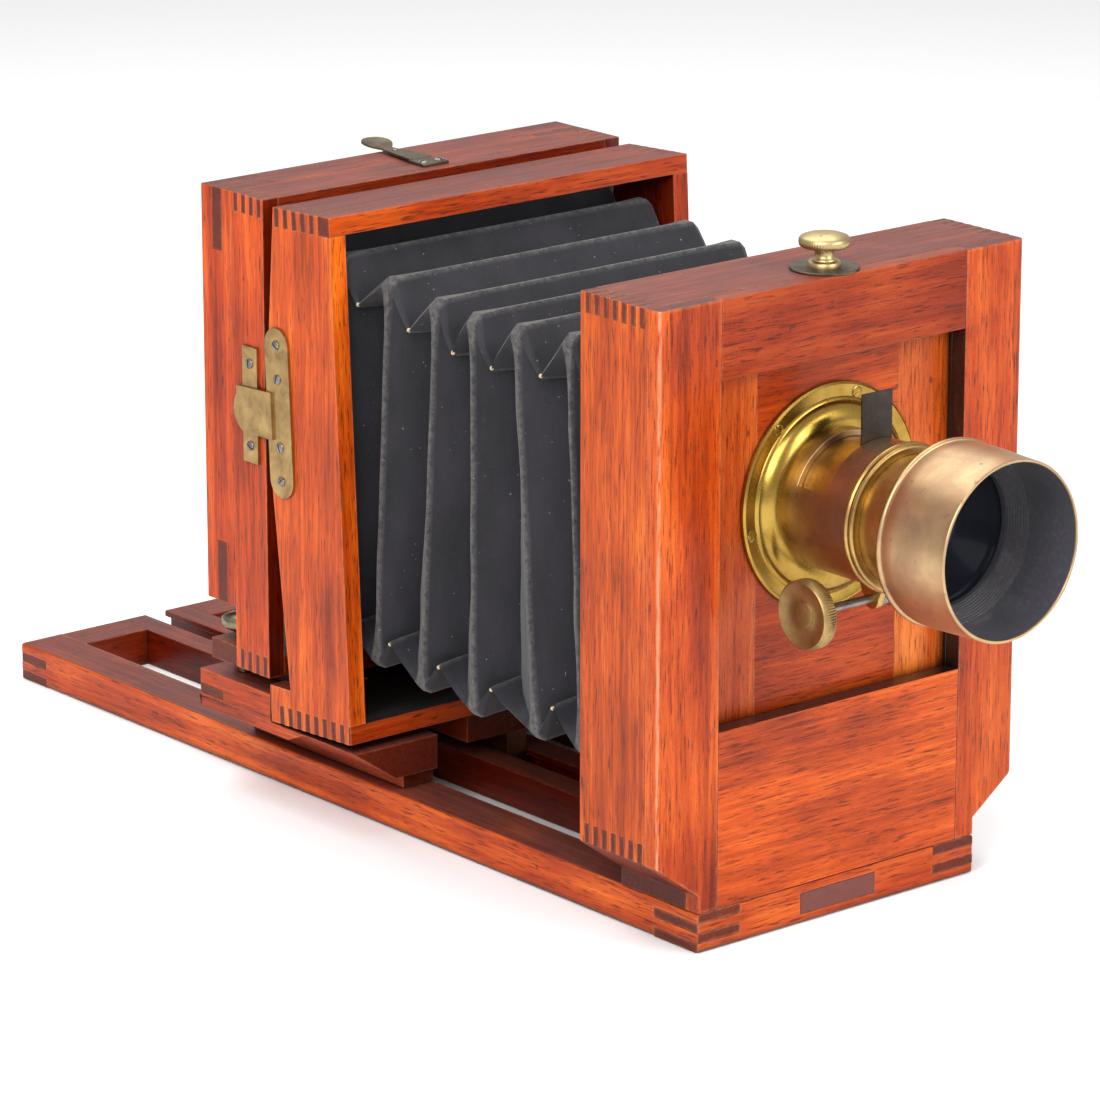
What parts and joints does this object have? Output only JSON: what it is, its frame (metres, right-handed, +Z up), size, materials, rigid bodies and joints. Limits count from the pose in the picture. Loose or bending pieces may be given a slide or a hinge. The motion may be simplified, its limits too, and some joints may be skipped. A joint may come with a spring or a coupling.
{
  "type": "view camera",
  "caption": "Old wooden view camera with a brass lens on a rising board, pleated bellows, a swing frame and a ground-glass back on an open wooden bed.",
  "frame": {"origin": "centre of the footprint of the whole camera, on the surface it stands on", "axes": "+Z up, -Y the way the lens looks, +Y towards the ground glass along the bed, +X to the right seen from the front"},
  "size_m": [0.2456, 0.697, 0.3459],
  "materials": {
    "mahogany": "satin",
    "brass": "satin",
    "lacquered_brass": "satin",
    "blackened_brass": "matte",
    "lens_glass": "gloss",
    "ground_glass": "matte",
    "bellows_cloth": "matte"
  },
  "bodies": {
    "camera_base": {"bed_front_rail": "mahogany", "bed_side_rail_left": "mahogany", "bed_side_rail_right": "mahogany", "bed_inner_rails": "mahogany", "bed_rear_rails": "mahogany", "tripod_block": "mahogany", "tripod_bush": "brass", "name_plate": "brass", "front_base_block": "mahogany", "front_bottom_board": "mahogany", "front_side_board_left": "mahogany", "front_side_board_right": "mahogany", "front_top_board": "mahogany", "front_stiles": "mahogany", "front_top_rail": "mahogany", "front_lower_panel": "mahogany", "lens_board_channels": "mahogany", "clamp_washer": "brass"},
    "rising_front": {"lens_board": "mahogany", "lens_board_cleats": "mahogany", "lens_flange": "brass", "flange_screws": "brass", "lens_jacket": "lacquered_brass", "pinion_housing": "lacquered_brass"},
    "lens": {"lens_barrel": "lacquered_brass", "focus_rack": "lacquered_brass", "lens_hood": "lacquered_brass", "front_lens_cell": "lacquered_brass", "front_lens": "lens_glass", "rear_lens": "lens_glass"},
    "pinion": {"focus_pinion": "lacquered_brass", "focus_knob": "lacquered_brass"},
    "stop": {"aperture_stop": "blackened_brass"},
    "clamp": {"front_clamp_knob": "brass"},
    "carriage": {"carriage_runners": "mahogany", "carriage_cheeks": "mahogany", "carriage_rear_rail": "mahogany", "carriage_centre_block": "mahogany", "carriage_tongue": "brass", "back_riser": "mahogany", "back_side_board_left": "mahogany", "back_side_board_right": "mahogany", "back_top_board": "mahogany", "back_bottom_board": "mahogany", "back_hinge_plates": "brass", "latch_base": "brass", "back_screws": "brass", "bellows": "bellows_cloth"},
    "swing_frame": {"swing_side_board_left": "mahogany", "swing_side_board_right": "mahogany", "swing_top_board": "mahogany", "swing_bottom_board": "mahogany", "swing_hinge_leaves": "brass", "swing_screws": "brass"},
    "focusing_back": {"screen_stiles": "mahogany", "screen_rails": "mahogany", "ground_glass": "ground_glass"},
    "latch": {"back_latch": "brass"},
    "thumb_left": {"back_thumb_knob_left": "brass"},
    "thumb_right": {"back_thumb_knob_right": "brass"}
  },
  "joints": [
    {"name": "lens_board_rise", "type": "slide", "parent": "camera_base", "child": "rising_front", "axis": [0, 0, 1], "range_m": [-0.03, 0.006]},
    {"name": "barrel_focus", "type": "slide", "parent": "rising_front", "child": "lens", "axis": [0, 1, 0], "range_m": [0, 0.016]},
    {"name": "focus_knob_turn", "type": "hinge", "parent": "rising_front", "child": "pinion", "pos_m": [0, -0.2595, 0.17215], "axis": [1, 0, 0], "range_deg": [0, 145]},
    {"name": "stop_lift", "type": "slide", "parent": "lens", "child": "stop", "axis": [0, 0, 1], "range_m": [0, 0.065]},
    {"name": "clamp_turn", "type": "hinge", "parent": "camera_base", "child": "clamp", "pos_m": [0, -0.215, 0.343], "axis": [0, 0, 1], "range_deg": [-90, 90]},
    {"name": "carriage_slide", "type": "slide", "parent": "camera_base", "child": "carriage", "axis": [0, 1, 0], "range_m": [-0.1, 0.08], "deforming": ["bellows"]},
    {"name": "swing_tilt", "type": "hinge", "parent": "carriage", "child": "swing_frame", "pos_m": [0, 0.0905, 0.2145], "axis": [-1, 0, 0], "range_deg": [0, 4]},
    {"name": "back_slide", "type": "slide", "parent": "carriage", "child": "focusing_back", "axis": [0, 1, 0], "range_m": [0, 0.025]},
    {"name": "latch_lift", "type": "hinge", "parent": "carriage", "child": "latch", "pos_m": [0, 0.1005, 0.332], "axis": [1, 0, 0], "range_deg": [0, 12], "stiffness_Nm_per_rad": 0.06, "springref_deg": -11.46},
    {"name": "thumb_turn_left", "type": "hinge", "parent": "carriage", "child": "thumb_left", "pos_m": [-0.106, 0.1201, 0.088], "axis": [0, 0, 1], "range_deg": [-90, 90]},
    {"name": "thumb_turn_right", "type": "hinge", "parent": "carriage", "child": "thumb_right", "pos_m": [0.106, 0.1201, 0.088], "axis": [0, 0, 1], "range_deg": [-90, 90]}
  ],
  "couplings": [
    {"joint": "focus_knob_turn", "follows": "barrel_focus", "rad_per_m": 156.25}
  ]
}
